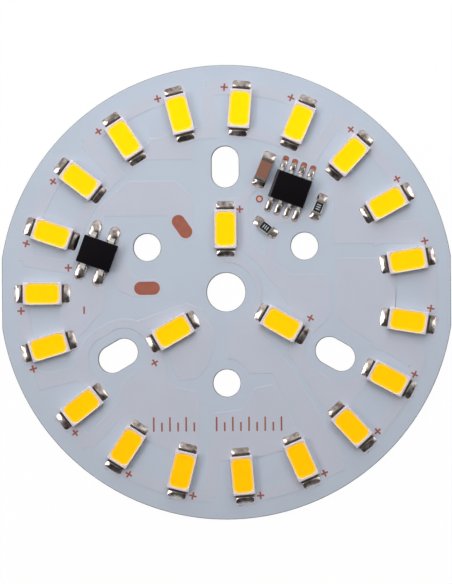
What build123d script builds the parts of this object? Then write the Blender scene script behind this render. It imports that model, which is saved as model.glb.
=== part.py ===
from build123d import *
import math
import os

# Round aluminium-core LED board, millimetres. The origin is at the middle of the underside,
# +Z points out of the populated face and +Y towards the slot nearest the driver chip.

# Board
board_diameter = 60.0
flat_depth = 0.35
core_thickness = 1.0
dielectric_thickness = 0.1
copper_thickness = 0.035
mask_thickness = 0.03
mask_pullback = 0.08
mask_overlap = 0.1

# Holes of the board
centre_hole_diameter = 5.1
round_hole_diameter = 3.6
round_hole_radius = 12.0
round_hole_angles = (30, 150, 270)
slot_width = 3.6
slot_length = 5.45
slot_radius = 16.55
slot_angles = (90, 210, 330)

# LED package: a moulded cup on two lead plates, filled with phosphor
led_length = 5.2
led_width = 3.0
led_height = 0.88
led_corner = 0.15
led_draft = 4
window_length = 4.43
window_width = 2.58
window_corner = 0.5
cup_draft = 0.22
phosphor_drop = 0.03
plate_thickness = 0.2
plate_width = 2.2
plate_reach = 0.28
cathode_plate_length = 1.9
plate_gap = 0.45
tie_width = 0.3
tie_place = 1.35
tie_reach = 0.07

# Solder joints and pads
solder_film = 0.03
led_solder_width = 2.3
led_solder_reach = 0.75
led_solder_inset = 1.1
fillet_hollow = 0.42
chip_solder_rise = 0.6
pad_margin = 0.12
pad_corner = 0.3
opening_margin = 0.04

# Places of the LEDs
ring_count = 19
ring_inset = 5.7
ring_start = 180
shifted_led = 18
shifted_led_turn = 2.4
shifted_led_out = 0.2
inner_radius = 8.4
inner_angles = (90, 330, 210)
inner_side_steps = (0, 0, 0.95)
inner_out_steps = (-0.07, 0.07, 0.28)

# Bridge rectifier, a fixed distance in from the ring
bridge_ring_step = 6.51
bridge_direction = 162.84
bridge_turn = -20
bridge_length = 4.7
bridge_width = 3.7
bridge_height = 1.4
bridge_waist = 0.7
bridge_pitch = 2.54
bridge_span = 6.6
bridge_lead_width = 0.75
bridge_pad_length = 2.1
bridge_pad_width = 1.35
bridge_pad_reach = 0.8

# Driver chip, a fixed distance in from the ring
driver_ring_step = 8.25
driver_direction = 57.6
driver_turn = -20.5
driver_length = 4.9
driver_width = 3.8
driver_height = 1.5
driver_waist = 0.68
driver_bevel = 0.35
driver_pitch = 1.27
driver_span = 6.0
driver_lead_width = 0.42
driver_pad_length = 1.6
driver_pad_width = 0.75
driver_pad_reach = 0.9
driver_lead_count = 4
dimple_diameter = 0.55
dimple_depth = 0.06
dimple_inset = (0.95, 0.85)

# What the two moulded chips share
chip_standoff = 0.1
chip_draft = 6
lead_thickness = 0.2
lead_foot = 0.6
lead_bend = 0.16
lead_root = 0.25
lead_knee = 0.35

# Ceramic capacitor: its middle from the driver's, and its turn
capacitor_step = (-3.45, 2.55)
capacitor_turn = 67
capacitor_length = 3.2
capacitor_width = 1.6
capacitor_height = 1.25
capacitor_cap = 0.5
capacitor_pad = 0.8

# Chip resistors: the middle of each from the driver's, and its turn
resistor_steps = ((3.7, -2.45, 67), (-3.3, -5.05, -39))
resistor_length = 2.0
resistor_width = 1.25
resistor_height = 0.5
resistor_cap = 0.4
resistor_pad = 0.8
resistor_coat = 0.03
resistor_coat_inset = 0.12
cap_thickness = 0.03
cap_round = 0.08

# Copper areas
trace_width = 1.3
link_width = 1.5
inner_link_step = 3.0
outer_link_step = 2.7
hole_clearance = 1.5
slot_trace_width = 0.95
thin_trace_width = 0.6
wide_area_spokes = (0, 12)
centre_arc = (3.5, 4.65, -30, 90)
wire_pad_width = 1.75
wire_pad_length = 3.4
wire_pads = ((-5.75, 8.7, -55), (-10.45, 0.6, 0))

# Places that follow from the board's edge
board_radius = board_diameter / 2
flat_distance = board_radius - flat_depth
ring_radius = board_radius - ring_inset
inner_link_radius = ring_radius - inner_link_step
outer_link_radius = ring_radius + outer_link_step
area_unit = board_radius / 30

# Heights that follow from the layers
dielectric_floor = core_thickness
copper_floor = dielectric_floor + dielectric_thickness
copper_top = copper_floor + copper_thickness
seat_height = copper_top + solder_film


def at(x, y, turn=0, z=0):
    """A place on the board, turned about the board's normal."""
    return Location((x, y, z), (0, 0, turn))


def polar(radius, angle):
    """A point given by its distance and direction from the board's middle."""
    return radius * math.cos(math.radians(angle)), radius * math.sin(math.radians(angle))


def ring_angle(number):
    """Direction of a ring LED as its copper is laid out, clockwise from the left-hand flat."""
    return ring_start - number * 360 / ring_count


def led_places():
    """Places of all the LEDs, each with its long axis outward and its positive end outside."""
    places = []
    for number in range(ring_count):
        angle = ring_angle(number)
        radius = ring_radius
        if number == shifted_led:
            angle -= shifted_led_turn
            radius += shifted_led_out
        places.append(at(*polar(radius, angle), angle))
    for angle, side, out in zip(inner_angles, inner_side_steps, inner_out_steps):
        places.append(at(0, 0, angle) * Pos(inner_radius + out, side))
    return places


def holes(grow=0):
    """Outlines of the centre hole, the round holes and the radial slots."""
    shapes = [Circle(centre_hole_diameter / 2 + grow)]
    for angle in round_hole_angles:
        shapes.append(Pos(*polar(round_hole_radius, angle)) * Circle(round_hole_diameter / 2 + grow))
    for angle in slot_angles:
        slot = SlotOverall(slot_length + 2 * grow, slot_width + 2 * grow)
        shapes.append(at(*polar(slot_radius, angle), angle) * slot)
    return shapes


def board_outline(inset=0):
    """The disc with its two break-out flats and its holes."""
    disc = Circle(board_radius - inset) & Rectangle(2 * (flat_distance - inset), board_diameter)
    return disc - holes(inset)


def layer(outline, floor, thickness):
    """A flat layer of the board."""
    return extrude(Pos(0, 0, floor) * outline, thickness, dir=(0, 0, 1))


def band(inner, outer, start, end, grow=0):
    """Part of a ring between two directions in degrees."""
    spread = math.degrees(grow / outer)
    sweep = end - start + 2 * spread
    outside = CenterArc((0, 0), outer + grow, start - spread, sweep)
    inside = CenterArc((0, 0), inner - grow, start - spread, sweep)
    return make_face(outside + inside + Line(inside @ 0, outside @ 0) + Line(inside @ 1, outside @ 1))


def bar(start, end, width, grow=0):
    """A straight trace between two points, with square ends."""
    run = Vector(*end) - Vector(*start)
    middle = (Vector(*end) + Vector(*start)) * 0.5
    turn = math.degrees(math.atan2(run.Y, run.X))
    return at(middle.X, middle.Y, turn) * Rectangle(run.length + 2 * grow, width + 2 * grow)


def pour(points, grow=0):
    """A copper area with straight sides, its corners given in thirtieths of the board's radius."""
    outline = Polygon(*[(x * area_unit, y * area_unit) for x, y in points], align=None)
    if grow:
        outline = offset(outline, grow, kind=Kind.INTERSECTION)
    return outline


def link(radius, first, second, grow=0):
    """Arc of copper that joins two ring LEDs, or one and the trace beside it."""
    start, end = sorted((ring_angle(first), ring_angle(second)))
    return band(radius - link_width / 2, radius + link_width / 2, start, end, grow)


def spoke(number, inner, outer, grow=0):
    """Radial trace in the space between one ring LED and the next one clockwise."""
    angle = ring_angle(number + 0.5)
    return bar(polar(inner, angle), polar(outer, angle), trace_width, grow)


def pad_shape(inner, outer, width, margin=0):
    """A pad that starts and ends at two distances along a part's long axis, with round corners."""
    size = (outer - inner + 2 * margin, width + 2 * margin)
    return Pos((inner + outer) / 2, 0) * RectangleRounded(*size, pad_corner + margin)


led_end = led_length / 2 + plate_reach
led_pad = (led_end - led_solder_inset, led_end + led_solder_reach)
bridge_pad_end = bridge_span / 2 + bridge_pad_reach
bridge_pad = (bridge_pad_end - bridge_pad_length, bridge_pad_end)
driver_pad_end = driver_span / 2 + driver_pad_reach
driver_pad = (driver_pad_end - driver_pad_length, driver_pad_end)


def pads(margin=0):
    """Every soldered pad, larger all round by a margin."""
    shapes = []
    for place in led_places():
        for turn in (0, 180):
            shapes.append(place * at(0, 0, turn) * pad_shape(*led_pad, led_solder_width, margin))
    for place in bridge_lead_places():
        blob = SlotOverall(bridge_pad_length + 2 * margin, bridge_pad_width + 2 * margin)
        shapes.append(place * Pos(sum(bridge_pad) / 2, 0) * blob)
    for place in driver_lead_places():
        shapes.append(place * pad_shape(*driver_pad, driver_pad_width, margin))
    for place, length, width, cap, reach in chip_ends():
        shapes.append(place * pad_shape(length / 2 - cap, length / 2 + reach, width, margin))
    return shapes


def wire_pad_shapes(grow=0):
    """The two bare pads that the mains wires are soldered to."""
    blob = SlotOverall(wire_pad_length + 2 * grow, wire_pad_width + 2 * grow)
    return [at(x, y, turn) * blob for x, y, turn in wire_pads]


def lead_rows(body, pitch, count):
    """Places of the leads on both long sides of a moulded chip, each with its lead along +X."""
    places = []
    for side in (90, -90):
        for number in range(count):
            step = (number - (count - 1) / 2) * pitch
            places.append(body * Pos(step, 0) * at(0, 0, side))
    return places


def bridge_place():
    return at(*polar(ring_radius - bridge_ring_step, bridge_direction), bridge_turn)


def driver_place():
    return at(*polar(ring_radius - driver_ring_step, driver_direction), driver_turn)


def beside_driver(x, y, turn):
    """Place of a chip part that keeps its distance from the driver's middle."""
    middle = driver_place().position
    return at(middle.X + x, middle.Y + y, turn)


def capacitor_place():
    return beside_driver(*capacitor_step, capacitor_turn)


def resistor_places():
    return [beside_driver(*step) for step in resistor_steps]


def bridge_lead_places():
    return lead_rows(bridge_place(), bridge_pitch, 2)


def driver_lead_places():
    return lead_rows(driver_place(), driver_pitch, driver_lead_count)


def chip_ends():
    """Both ends of the capacitor and the resistors, each with its end along +X."""
    ends = []
    for turn in (0, 180):
        place = capacitor_place() * at(0, 0, turn)
        ends.append((place, capacitor_length, capacitor_width, capacitor_cap, capacitor_pad))
        for middle in resistor_places():
            place = middle * at(0, 0, turn)
            ends.append((place, resistor_length, resistor_width, resistor_cap, resistor_pad))
    return ends


def slot_trace(angle, grow=0):
    """Copper that runs round the clockwise side of a slot, clear of its wall."""
    near = hole_clearance - grow
    far = hole_clearance + slot_trace_width + grow
    outline = SlotOverall(slot_length + 2 * far, slot_width + 2 * far)
    outline -= SlotOverall(slot_length + 2 * near, slot_width + 2 * near)
    depth = slot_width / 2 + far
    side = Pos(0, -depth / 2 + grow) * Rectangle(slot_length + 2 * far, depth + 2 * grow)
    return at(*polar(slot_radius, angle), angle) * (outline & side)


def copper_shapes(grow=0):
    """The etched pattern: eleven pairs of LEDs in series between the rectifier's outputs."""
    shapes = pads(pad_margin + grow) + wire_pad_shapes(pad_margin + grow)
    # Pairs round the ring share their inner pads and their outer pads
    for first in range(1, 17, 2):
        shapes.append(link(inner_link_radius, first, first + 1, grow))
        shapes.append(link(outer_link_radius, first, first + 1, grow))
    shapes.append(link(outer_link_radius, -1, 0, grow))
    # A spoke takes the inner side of one pair to the outer side of the next
    for number in range(0, 17, 2):
        shapes.append(spoke(number, inner_link_radius - link_width / 2, outer_link_radius, grow))
        shapes.append(link(outer_link_radius, number + 0.5, number + 1, grow))
        if number not in wide_area_spokes:
            shapes.append(link(inner_link_radius, number, number + 0.5, grow))
    for outline in pour_outlines():
        shapes.append(pour(outline, grow))
    shapes.append(slot_trace(slot_angles[1], grow))
    shapes.append(band(*centre_arc, grow))
    for first, last in short_traces():
        shapes.append(bar(first, last, thin_trace_width, grow))
    return shapes


def pour_outlines():
    """Wider areas, which also carry heat away."""
    return (
        # From the rectifier's upper left lead to the upper wire pad
        ((-17.9, 8.9), (-17.0, 10.8), (-12.9, 14.6), (-6.7, 14.6), (-4.6, 12.6), (-4.3, 8.6), (-6.2, 8.2),
         (-7.6, 10.3), (-16.3, 10.3), (-16.3, 8.9)),
        # From its upper right lead to the lower wire pad
        ((-15.3, 7.4), (-14.0, 7.2), (-13.6, 4.4), (-12.6, 2.3), (-10.4, 1.4), (-10.4, -0.3), (-12.4, -0.3),
         (-14.0, 0.4), (-14.6, 1.4), (-14.5, 4.3)),
        # From its negative lead to the last pair
        ((-22.0, 1.2), (-16.2, 1.2), (-16.3, -1.5), (-16.8, -2.6), (-19.0, -5.0), (-20.5, -6.4),
         (-21.8, -5.0), (-21.6, -1.2)),
        # Inside the second pair
        ((-10.8, 17.7), (-4.5, 17.7), (-4.3, 20.2), (-9.8, 20.2)),
        # Right of the driver
        ((14.3, 6.4), (26.2, 6.4), (26.0, 9.0), (22.3, 9.0), (19.8, 9.8), (16.2, 14.6), (14.3, 15.4)),
        # At the right-hand edge
        ((14.8, 4.2), (22.2, 4.2), (22.2, -5.6), (26.2, -7.8), (25.8, -10.0), (23.6, -9.6), (16.0, -4.5),
         (14.8, -3.2)),
        # Between the positive ends of the upper and the right-hand inner LED
        ((0.0, 12.2), (0.0, 11.0), (1.75, 11.0), (1.75, 6.0), (3.9, 4.2), (5.8, 1.9), (7.2, 0.2), (8.9, -2.6),
         (9.6, -5.0), (11.6, -5.2), (12.6, -4.2), (13.8, -3.0), (13.8, 0.5), (12.9, 2.1), (8.6, 2.1),
         (6.6, 3.4), (2.9, 6.6), (2.9, 12.2)),
        # From there round the right-hand slot
        ((9.0, -5.2), (8.3, -8.1), (13.4, -16.2), (15.0, -15.4), (19.2, -11.2), (18.3, -9.3), (14.0, -9.0),
         (10.6, -5.6)),
        # From the inner LEDs' negative ends down to the lower right edge
        ((0.3, -2.0), (0.3, -10.6), (6.1, -10.6), (9.8, -18.1), (13.2, -24.4), (15.4, -23.4), (12.7, -17.3),
         (8.1, -9.8), (4.8, -5.6), (4.4, -2.2)),
        # Below the lowest round hole
        ((3.9, -12.8), (6.0, -12.4), (6.8, -13.6), (9.4, -19.2), (8.0, -20.7), (2.0, -21.8), (-2.4, -21.3),
         (-1.5, -16.1), (1.9, -15.7), (3.0, -14.4)),
        # Left of it
        ((-10.6, -7.6), (-13.9, -12.3), (-14.5, -15.6), (-12.0, -18.6), (-5.2, -21.3), (-3.9, -20.6),
         (-3.8, -13.3), (-6.8, -12.6), (-7.8, -11.6), (-8.4, -9.4), (-9.0, -7.4)),
        # Beside the lower inner LED
        ((-3.4, -3.0), (-1.7, -5.2), (-1.7, -7.2), (-2.6, -9.6), (-4.0, -11.2), (-6.1, -11.5), (-6.9, -10.2),
         (-7.3, -8.2)),
        # From the lower-left slot's upper side to that LED's negative end
        ((-11.8, -3.9), (-5.2, -1.6), (-3.2, -2.4), (-3.4, -3.6), (-5.2, -2.7), (-11.4, -5.0)),
        # Left of the lower-left slot
        ((-25.4, -10.2), (-24.7, -12.6), (-19.9, -11.4), (-17.0, -13.2), (-16.0, -11.9), (-17.8, -10.5),
         (-18.5, -8.8), (-18.4, -7.2), (-19.6, -7.4), (-20.2, -10.0), (-23.7, -10.6)),
    )


def spot(place, x=0, y=0):
    """A point given in a part's own directions."""
    point = (place * Pos(x, y)).position
    return point.X, point.Y


def short_traces():
    """Thin traces between the driver, the capacitor and the resistors, and out to the wider areas."""
    leads = driver_lead_places()
    upper, lower = leads[:driver_lead_count], leads[driver_lead_count:]
    capacitor = capacitor_place()
    outer = capacitor_length / 2 + capacitor_pad / 2
    first, second = resistor_places()
    end = resistor_length / 2 + resistor_pad / 2
    return (
        (spot(capacitor, outer), spot(upper[0], driver_pad[1] - driver_pad_width / 2)),
        (spot(capacitor, -outer), (2.0, 12.0)),
        (spot(second, -end), spot(lower[-1], driver_pad[1] - driver_pad_width / 2)),
        (spot(second, end), (5.6, 4.2)),
        (spot(first, -end), spot(lower[0], driver_pad[1] - driver_pad_width / 2)),
        (spot(first, end), (14.6, 12.6)),
    )


def upward(sketch):
    """The same faces, all turned to look up."""
    return Sketch() + [face if face.normal_at().Z > 0 else -face for face in sketch.faces()]


def copper_outline(grow=0):
    """The whole pattern, kept clear of every hole's wall."""
    shapes = [upward(shape) for shape in copper_shapes(grow)]
    return Sketch() + shapes - holes(hole_clearance - grow)


def base_plate():
    return layer(board_outline(), 0, core_thickness)


def dielectric_layer():
    return layer(board_outline(), dielectric_floor, dielectric_thickness)


def copper_foil():
    return layer(copper_outline(), copper_floor, copper_thickness)


def solder_mask():
    """Thin coat that steps up over the copper and leaves the pads open."""
    coat = layer(board_outline(mask_pullback), copper_floor, mask_thickness)
    coat += layer(copper_outline(mask_overlap), copper_floor, copper_thickness + mask_thickness)
    coat -= copper_foil()
    openings = Sketch() + pads(opening_margin) + wire_pad_shapes()
    return coat - layer(openings, copper_floor, copper_thickness + 2 * mask_thickness)


def lead_plates():
    """The two plates that the cup is moulded on; the longer one carries the positive end."""
    half = led_end
    negative = Pos(-half + cathode_plate_length / 2, 0) * Rectangle(cathode_plate_length, plate_width)
    length = 2 * half - cathode_plate_length - plate_gap
    positive = Pos(half - length / 2, 0) * Rectangle(length, plate_width)
    plates = negative + positive
    # Cut ends of the strips that held the frame while it was moulded
    for x in (-tie_place, tie_place):
        plates += Pos(x, 0) * Rectangle(tie_width, led_width + 2 * tie_reach)
    return extrude(plates, plate_thickness)


def cup_space():
    """Inside of the cup, from the lead plates up to the window."""
    depth = led_height - plate_thickness
    window = Pos(0, 0, led_height) * RectangleRounded(window_length, window_width, window_corner)
    lean = math.degrees(math.atan(cup_draft / depth))
    return extrude(window, depth, dir=(0, 0, -1), taper=lean)


def led_housing():
    body = extrude(RectangleRounded(led_length, led_width, led_corner), led_height, taper=led_draft)
    return body - cup_space() - lead_plates()


def led_phosphor():
    """The fill, a little below the rim."""
    rim = Box(led_length, led_width, led_height)
    return cup_space() & Pos(0, 0, led_height / 2 - phosphor_drop) * rim


def solder_joint(inner, end, outer, width, rise):
    """Film under a terminal and a hollow-faced fillet from its end out to the pad's edge."""
    film = solder_film
    foot = Polyline((end, film + rise), (end, film), (inner, film), (inner, 0), (outer, 0), (outer, film))
    middle = ((2 * end + outer) / 3, film + fillet_hollow * rise)
    face = ThreePointArc((outer, film), middle, (end, film + rise))
    joint = extrude(Plane.XZ * make_face(foot + face), width / 2, both=True)
    return joint & extrude(pad_shape(inner, outer, width), film + rise)


def led_solder():
    joint = solder_joint(led_pad[0], led_end, led_pad[1], led_solder_width, plate_thickness)
    joints = []
    for place in led_places():
        for turn in (0, 180):
            joints.append(Pos(0, 0, copper_top) * place * at(0, 0, turn) * joint)
    return joints


def moulded_chip(length, width, height, waist):
    """Moulded body that tapers up and down from the height where its leads come out."""
    upper = extrude(Rectangle(length, width), height - waist, taper=chip_draft)
    lower = mirror(extrude(Rectangle(length, width), waist - chip_standoff, taper=chip_draft), Plane.XY)
    return Pos(0, 0, waist) * (upper + lower)


def gull_lead(body_width, span, waist, width):
    """Lead along +X from the moulding's wall, bent down to a flat foot."""
    foot_height = lead_thickness / 2
    wall = body_width / 2
    toe = span / 2
    heel = toe - lead_foot
    knee = wall + (heel - wall) * lead_knee
    points = ((wall - lead_root, waist), (knee, waist), (heel, foot_height), (toe, foot_height))
    line = FilletPolyline(*points, radius=lead_bend)
    return extrude(Plane.XZ * trace(line, lead_thickness), width / 2, both=True)


def bridge_parts():
    lead = gull_lead(bridge_width, bridge_span, bridge_waist, bridge_lead_width)
    leads = [Pos(0, 0, seat_height) * place * lead for place in bridge_lead_places()]
    body = moulded_chip(bridge_length, bridge_width, bridge_height, bridge_waist)
    body = Pos(0, 0, seat_height) * bridge_place() * body
    for piece in leads:
        body -= piece
    return body, leads


def driver_parts():
    lead = gull_lead(driver_width, driver_span, driver_waist, driver_lead_width)
    leads = [Pos(0, 0, seat_height) * place * lead for place in driver_lead_places()]
    body = moulded_chip(driver_length, driver_width, driver_height, driver_waist)
    # Sloped upper edge and dimple at the end that holds the first lead
    corner = Pos(-driver_length / 2, 0, driver_height) * Rot(0, 45, 0)
    body -= corner * Box(driver_bevel * math.sqrt(2), driver_width, driver_bevel * math.sqrt(2))
    along, across = dimple_inset
    dimple = Pos(along - driver_length / 2, across - driver_width / 2, driver_height)
    body -= dimple * Cylinder(dimple_diameter / 2, 2 * dimple_depth)
    body = Pos(0, 0, seat_height) * driver_place() * body
    for piece in leads:
        body -= piece
    return body, leads


def end_cap(length, width, height, cap):
    """Metal cap round the +X end of a ceramic block."""
    shell = Pos(length / 2 - cap / 2, 0, height / 2) * Box(cap, width, height)
    shell = fillet(shell.faces().sort_by(Axis.X)[-1].edges(), cap_round)
    return shell - ceramic_block(length, width, height)


def ceramic_block(length, width, height):
    """Bare block inside its two end caps."""
    inset = 2 * cap_thickness
    return Pos(0, 0, height / 2) * Box(length - inset, width - inset, height - inset)


def capacitor_parts():
    place = Pos(0, 0, seat_height) * capacitor_place()
    size = (capacitor_length, capacitor_width, capacitor_height)
    cap = end_cap(*size, capacitor_cap)
    return place * ceramic_block(*size), [place * cap, place * at(0, 0, 180) * cap]


def resistor_parts():
    size = (resistor_length, resistor_width, resistor_height)
    cap = end_cap(*size, resistor_cap)
    coat_length = resistor_length - 2 * resistor_cap
    coat_width = resistor_width - 2 * cap_thickness - resistor_coat_inset
    top = resistor_height - cap_thickness
    coat = Pos(0, 0, top + resistor_coat / 2) * Box(coat_length, coat_width, resistor_coat)
    bodies = []
    coats = []
    caps = []
    for middle in resistor_places():
        place = Pos(0, 0, seat_height) * middle
        bodies.append(place * ceramic_block(*size))
        coats.append(place * coat)
        caps.append(place * cap)
        caps.append(place * at(0, 0, 180) * cap)
    return bodies, coats, caps


def component_solder():
    blob = SlotOverall(bridge_pad_length, bridge_pad_width)
    blob = Pos(sum(bridge_pad) / 2, 0) * extrude(blob, bridge_height)
    inner, outer = bridge_pad
    bridge_joint = solder_joint(inner, bridge_span / 2, outer, bridge_pad_width, lead_thickness) & blob
    inner, outer = driver_pad
    driver_joint = solder_joint(inner, driver_span / 2, outer, driver_pad_width, lead_thickness)
    joints = [place * bridge_joint for place in bridge_lead_places()]
    joints += [place * driver_joint for place in driver_lead_places()]
    rise = resistor_height * chip_solder_rise
    for place, length, width, cap, reach in chip_ends():
        end = length / 2
        joints.append(place * solder_joint(end - cap, end, end + reach, width, rise))
    return [Pos(0, 0, copper_top) * joint for joint in joints]


def save(name, pieces):
    """Writes one sub-part, as one solid or as a group of separate solids."""
    if not isinstance(pieces, list):
        pieces = [pieces]
    solids = []
    for piece in pieces:
        solids += piece.solids()
    shape = solids[0] if len(solids) == 1 else Compound(children=solids)
    export_step(shape, os.path.join("parts", name + ".step"))


os.makedirs("parts", exist_ok=True)

save("base_plate", base_plate())
save("dielectric_layer", dielectric_layer())
save("copper_foil", copper_foil())
save("solder_mask", solder_mask())

housing = led_housing()
phosphor = led_phosphor()
plates = lead_plates()
terminals = []
for number, place in enumerate(led_places(), 1):
    seat = Pos(0, 0, seat_height) * place
    save(f"led_housing_{number:02d}", seat * housing)
    save(f"led_phosphor_{number:02d}", seat * phosphor)
    terminals.append(seat * plates)
save("led_terminals", terminals)
save("led_solder", led_solder())

bridge_body, bridge_leads = bridge_parts()
save("bridge_body", bridge_body)
save("bridge_leads", bridge_leads)
driver_body, driver_leads = driver_parts()
save("driver_body", driver_body)
save("driver_leads", driver_leads)
capacitor_body, capacitor_caps = capacitor_parts()
save("capacitor_body", capacitor_body)
save("capacitor_terminations", capacitor_caps)
resistor_bodies, resistor_coats, resistor_caps = resistor_parts()
save("resistor_bodies", resistor_bodies)
save("resistor_coats", resistor_coats)
save("resistor_terminations", resistor_caps)
save("component_solder", component_solder())
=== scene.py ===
import math

import bmesh
import bpy
from mathutils import Matrix, Vector, noise


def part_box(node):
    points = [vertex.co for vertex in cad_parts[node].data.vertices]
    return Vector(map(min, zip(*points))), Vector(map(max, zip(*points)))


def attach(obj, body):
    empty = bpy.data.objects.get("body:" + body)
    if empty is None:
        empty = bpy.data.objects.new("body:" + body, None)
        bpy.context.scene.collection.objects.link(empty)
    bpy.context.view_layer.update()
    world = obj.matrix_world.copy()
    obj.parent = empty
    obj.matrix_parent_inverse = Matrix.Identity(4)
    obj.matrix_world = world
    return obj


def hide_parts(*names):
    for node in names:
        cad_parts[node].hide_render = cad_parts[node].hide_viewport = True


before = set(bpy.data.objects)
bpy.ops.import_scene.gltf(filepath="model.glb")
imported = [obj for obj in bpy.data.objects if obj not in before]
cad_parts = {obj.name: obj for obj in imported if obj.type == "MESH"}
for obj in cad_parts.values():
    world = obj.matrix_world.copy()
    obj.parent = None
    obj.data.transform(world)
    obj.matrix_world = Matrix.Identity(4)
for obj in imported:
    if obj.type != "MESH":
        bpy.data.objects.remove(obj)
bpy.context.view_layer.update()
scene = bpy.context.scene
scene.view_settings.view_transform = "Standard"

# Lengths are in metres. Corners nearer than close count as one place; cuts join corners nearer than weld.
mm = 0.001
close = 1e-6
weld = 1e-7

# Camera: nearly straight above the board, leaning a little to its right and to its lower edge.
# The picture is 584 pixels high and shows 7.565 pixels to the millimetre at the board.
camera_height = 700 * mm
picture_height = 584
pixels_per_metre = 7565
board_roll = Matrix.Rotation(math.radians(0.51), 4, "Z")
lean_right = Matrix.Rotation(math.radians(-2.34), 4, "Y")
lean_down = Matrix.Rotation(math.radians(-0.67), 4, "X")
aim = Matrix.Translation((0.06 * mm, -0.03 * mm, 0)) @ board_roll @ lean_right @ lean_down
bpy.ops.object.camera_add()
camera = bpy.context.object
camera.name = "product_camera"
camera.matrix_world = aim.inverted() @ Matrix.Translation((0, 0, camera_height))
camera.data.sensor_width = 36
camera.data.lens = camera.data.sensor_width * pixels_per_metre * camera_height / picture_height
camera.data.clip_start = 0.01
scene.camera = camera

# Base plate: rolled aluminium sheet, 1 mm thick, punched to a disc with two flats where it broke
# out of its panel, and with its holes and slots. The punch rounds its lower edge a little.
plate_low, plate_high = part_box("base_plate")
disc_radius = plate_high.y
flat_distance = plate_high.x
centre_hole_radius = 2.55 * mm
screw_hole_radius = 1.8 * mm
screw_hole_circle = 12 * mm
screw_hole_angles = (30, 150, 270)
slot_radius = 16.55 * mm
slot_length = 5.45 * mm
slot_angles = (90, 210, 330)
round_corners = 192
punch_reach = 6 * mm
punched_round = 0.06 * mm
sharp = 1.0


def only(piece):
    """Leaves one piece selected and active."""
    bpy.ops.object.select_all(action="DESELECT")
    piece.select_set(True)
    bpy.context.view_layer.objects.active = piece


def settle(piece):
    """Puts the piece's place into its mesh, so that its object sits at the origin."""
    only(piece)
    bpy.ops.object.transform_apply(location=True, rotation=True, scale=True)


def pick(kind, test):
    """In edit mode, selects the corners, edges or faces that pass a test."""
    mode = {"verts": "VERT", "edges": "EDGE", "faces": "FACE"}[kind]
    bpy.ops.mesh.select_mode(type=mode)
    bpy.ops.mesh.select_all(action="DESELECT")
    mesh = bpy.context.edit_object.data
    form = bmesh.from_edit_mesh(mesh)
    form.normal_update()
    for part in getattr(form, kind):
        if test(part):
            part.select_set(True)
    bmesh.update_edit_mesh(mesh)


def apply_all(piece):
    """Applies the piece's modifiers in their order."""
    only(piece)
    for modifier in list(piece.modifiers):
        bpy.ops.object.modifier_apply(modifier=modifier.name)


def is_sharp(edge, angle=sharp):
    """True for an edge that bends by more than an angle in radians."""
    return edge.is_manifold and edge.calc_face_angle() > angle


def looks_up(face, share=0.9):
    """True for a face whose normal points up, by at least a share."""
    return face.normal.z > share


def is_upright(edge, height):
    """True for an edge that climbs by more than a height."""
    return abs(edge.verts[0].co.z - edge.verts[1].co.z) > height


def on_level(edge, height):
    """True for an edge that lies at a height or above it."""
    return all(corner.co.z > height - close for corner in edge.verts)


def bevel(test, width, segments, **settings):
    """Rounds the edges of the active piece that pass a test."""
    bpy.ops.object.mode_set(mode="EDIT")
    pick("edges", test)
    bpy.ops.mesh.bevel(offset=width, segments=segments, affect="EDGES", **settings)
    bpy.ops.object.mode_set(mode="OBJECT")


def smooth_below(degrees):
    """Shades the active piece smooth over the edges that bend less than an angle."""
    bpy.ops.object.shade_smooth_by_angle(angle=math.radians(degrees))


def subtract(piece, tools):
    """Takes the shapes of the tools out of a piece and removes them."""
    for tool in tools:
        cut = piece.modifiers.new("cut", "BOOLEAN")
        cut.operation = "DIFFERENCE"
        cut.solver = "EXACT"
        cut.object = tool
    apply_all(piece)
    for tool in tools:
        bpy.data.objects.remove(tool)


def polar(radius, degrees):
    """A place in the plane from its distance and its angle."""
    return radius * math.cos(math.radians(degrees)), radius * math.sin(math.radians(degrees))


def punch(radius, place, length, turn):
    """Round or slot-shaped punch that reaches through the whole board."""
    bpy.ops.mesh.primitive_cylinder_add(vertices=round_corners // 2, radius=radius, depth=punch_reach)
    tool = bpy.context.object
    bpy.ops.object.mode_set(mode="EDIT")
    for side in (-1, 1):
        pick("verts", lambda corner: corner.co.x * side > close)
        bpy.ops.transform.translate(value=(side * (length / 2 - radius), 0, 0))
    bpy.ops.object.mode_set(mode="OBJECT")
    tool.data.transform(Matrix.Translation((*place, 0)) @ Matrix.Rotation(math.radians(turn), 4, "Z"))
    return tool


def punched_disc(name, floor, top):
    """A flat layer with the board's outline, its holes and its slots."""
    bpy.ops.mesh.primitive_circle_add(vertices=round_corners, radius=disc_radius, fill_type="NGON")
    disc = bpy.context.object
    disc.name = name
    disc.location.z = floor
    settle(disc)
    bpy.ops.object.mode_set(mode="EDIT")
    bpy.ops.mesh.select_all(action="SELECT")
    bpy.ops.mesh.extrude_region_move(TRANSFORM_OT_translate={"value": (0, 0, top - floor)})
    for side in (-1, 1):
        bpy.ops.mesh.select_all(action="SELECT")
        bpy.ops.mesh.bisect(plane_co=(side * flat_distance, 0, 0), plane_no=(side, 0, 0),
                            use_fill=True, clear_outer=True, threshold=weld)
    bpy.ops.mesh.select_all(action="SELECT")
    bpy.ops.mesh.normals_make_consistent(inside=False)
    bpy.ops.object.mode_set(mode="OBJECT")
    tools = [punch(centre_hole_radius, (0, 0), 2 * centre_hole_radius, 0)]
    for angle in screw_hole_angles:
        tools.append(punch(screw_hole_radius, polar(screw_hole_circle, angle), 2 * screw_hole_radius, 0))
    for angle in slot_angles:
        tools.append(punch(screw_hole_radius, polar(slot_radius, angle), slot_length, angle))
    subtract(disc, tools)
    return disc


def linear(code):
    """A screen colour such as '#C0C6D4' as the linear values that a shader takes."""
    parts = [int(code[i:i + 2], 16) / 255 for i in (1, 3, 5)]
    return (*[p / 12.92 if p <= 0.04045 else ((p + 0.055) / 1.055) ** 2.4 for p in parts], 1)


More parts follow.
